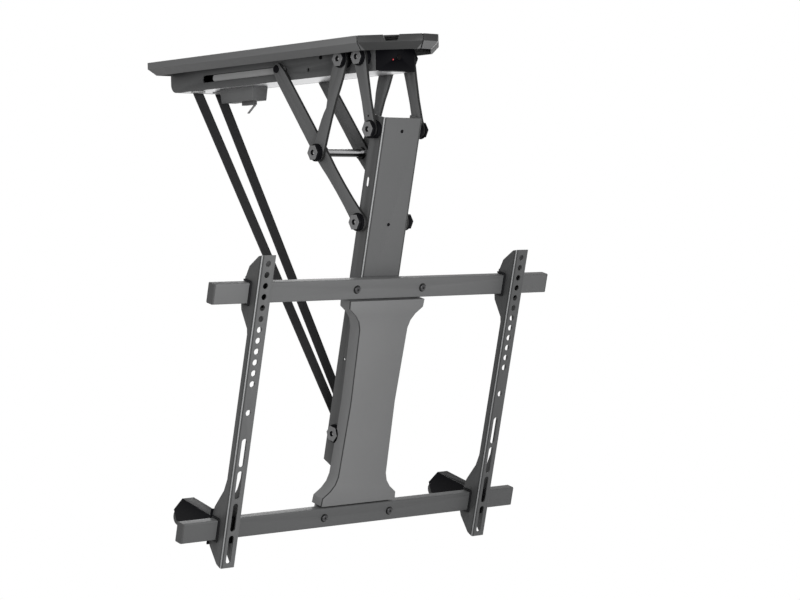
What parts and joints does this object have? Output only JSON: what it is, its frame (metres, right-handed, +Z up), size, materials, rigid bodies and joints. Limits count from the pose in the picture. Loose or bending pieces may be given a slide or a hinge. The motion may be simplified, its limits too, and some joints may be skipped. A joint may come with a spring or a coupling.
{
  "type": "motorized tv ceiling mount",
  "caption": "Motorised flip-down ceiling mount for a television: ceiling tray with drive, folding arms, lifting straps, column, rails and screen arms.",
  "frame": {"origin": "centre of the ceiling bolt pattern, on the face that meets the ceiling", "axes": "+X along the rails, +Y towards the back of the mount, +Z up"},
  "size_m": [0.65, 0.6, 0.7662],
  "materials": {
    "steel_dark": "satin powder coat, dark grey",
    "steel_grey": "satin powder coat, grey",
    "zinc": "bright zinc plate",
    "bolt": "dark satin plate",
    "black_steel": "black oxide",
    "chrome": "polished",
    "black_gloss": "gloss",
    "black_plastic": "matt",
    "grey_plastic": "matt",
    "red_lens": "clear red",
    "dark_lens": "dark clear",
    "rubber": "matt",
    "strap": "woven webbing",
    "board": "circuit board"
  },
  "bodies": {
    "ceiling_unit": {"ceiling_tray": "steel_dark", "channel": "steel_dark", "bottom_cover": "zinc", "front_cap": "black_gloss", "rear_cap": "black_plastic", "lamp_lens": "red_lens", "receiver_lens": "dark_lens", "guide_bars": "steel_grey", "side_rivets": "bolt", "control_board": "board", "motor": "black_steel", "gearbox": "zinc", "spool_bearings": "black_plastic", "switch_box": "steel_dark", "limit_switch": "black_plastic", "switch_wire": "black_plastic", "strap_guides": "grey_plastic", "strap_leads": "strap", "ceiling_pivot_bolts": "bolt", "ceiling_pivot_rings": "black_steel", "ceiling_pivot_nuts": "zinc"},
    "crank": {"cranks": "steel_dark"},
    "main_arm": {"main_arms": "steel_dark", "elbow_bolts": "bolt", "elbow_rings": "black_steel", "cross_rod": "chrome", "slide_pins": "black_steel"},
    "column": {"column": "steel_dark", "knee_bolts": "bolt", "column_rings": "black_steel", "knee_nuts": "zinc", "face_screws": "black_steel", "strap_axle": "zinc", "strap_loops": "black_plastic", "axle_bolts": "bolt", "adapter_plate": "steel_dark", "adapter_bolts": "zinc", "upper_rail": "steel_dark", "lower_rail": "steel_dark", "rail_caps": "black_plastic", "rail_screws": "bolt", "rail_nuts": "zinc"},
    "strut": {"struts": "steel_dark", "shoulder_bolts": "bolt", "shoulder_rings": "black_steel"},
    "straps": {"straps": "strap"},
    "spool": {"spool_shaft": "zinc", "spool_drums": "zinc", "strap_coils": "strap"},
    "lever": {"switch_lever": "zinc"},
    "screen_arm_left": {"screen_arm_left": "steel_dark", "arm_saddles_left": "black_plastic", "arm_clamps_left": "black_steel", "bumper_left": "rubber", "clamp_screws_left": "bolt"},
    "screen_arm_right": {"screen_arm_right": "steel_dark", "arm_saddles_right": "black_plastic", "arm_clamps_right": "black_steel", "bumper_right": "rubber", "clamp_screws_right": "bolt"}
  },
  "joints": [
    {"name": "crank_swing", "type": "hinge", "parent": "ceiling_unit", "child": "crank", "pos_m": [0, -0.189, -0.027], "axis": [1, 0, 0], "range_deg": [0, 51.33]},
    {"name": "arm_swing", "type": "hinge", "parent": "crank", "child": "main_arm", "pos_m": [0, -0.129, -0.163], "axis": [1, 0, 0], "range_deg": [-91.97, 0]},
    {"name": "column_fold", "type": "hinge", "parent": "main_arm", "child": "column", "pos_m": [0, -0.216, -0.2695], "axis": [1, 0, 0], "range_deg": [0, 116.15]},
    {"name": "strut_swing", "type": "hinge", "parent": "ceiling_unit", "child": "strut", "pos_m": [0, -0.232, -0.027], "axis": [1, 0, 0], "range_deg": [-43, 0]},
    {"name": "strap_swing", "type": "hinge", "parent": "ceiling_unit", "child": "straps", "pos_m": [0, 0.2057, -0.0515], "axis": [1, 0, 0], "range_deg": [-12.29, 0], "deforming": ["straps"]},
    {"name": "spool_turn", "type": "hinge", "parent": "ceiling_unit", "child": "spool", "pos_m": [0, 0.2177, -0.031], "axis": [1, 0, 0], "range_deg": [-2500, 0]},
    {"name": "lever_press", "type": "hinge", "parent": "ceiling_unit", "child": "lever", "pos_m": [0, 0.086, -0.0779], "axis": [1, 0, 0], "range_deg": [0, 18], "stiffness_Nm_per_rad": 0.01, "springref_deg": -5.73},
    {"name": "left_arm_slide", "type": "slide", "parent": "column", "child": "screen_arm_left", "axis": [1, 0, 0], "range_m": [-0.055, 0.145]},
    {"name": "right_arm_slide", "type": "slide", "parent": "column", "child": "screen_arm_right", "axis": [1, 0, 0], "range_m": [-0.145, 0.055]}
  ],
  "couplings": [
    {"joint": "crank_swing", "follows": "column_fold", "ratio": 0.4419},
    {"joint": "arm_swing", "follows": "column_fold", "ratio": -0.79186},
    {"joint": "strut_swing", "follows": "column_fold", "ratio": -0.37022},
    {"joint": "strap_swing", "follows": "column_fold", "ratio": -0.10581},
    {"joint": "spool_turn", "follows": "column_fold", "ratio": -21.524}
  ]
}
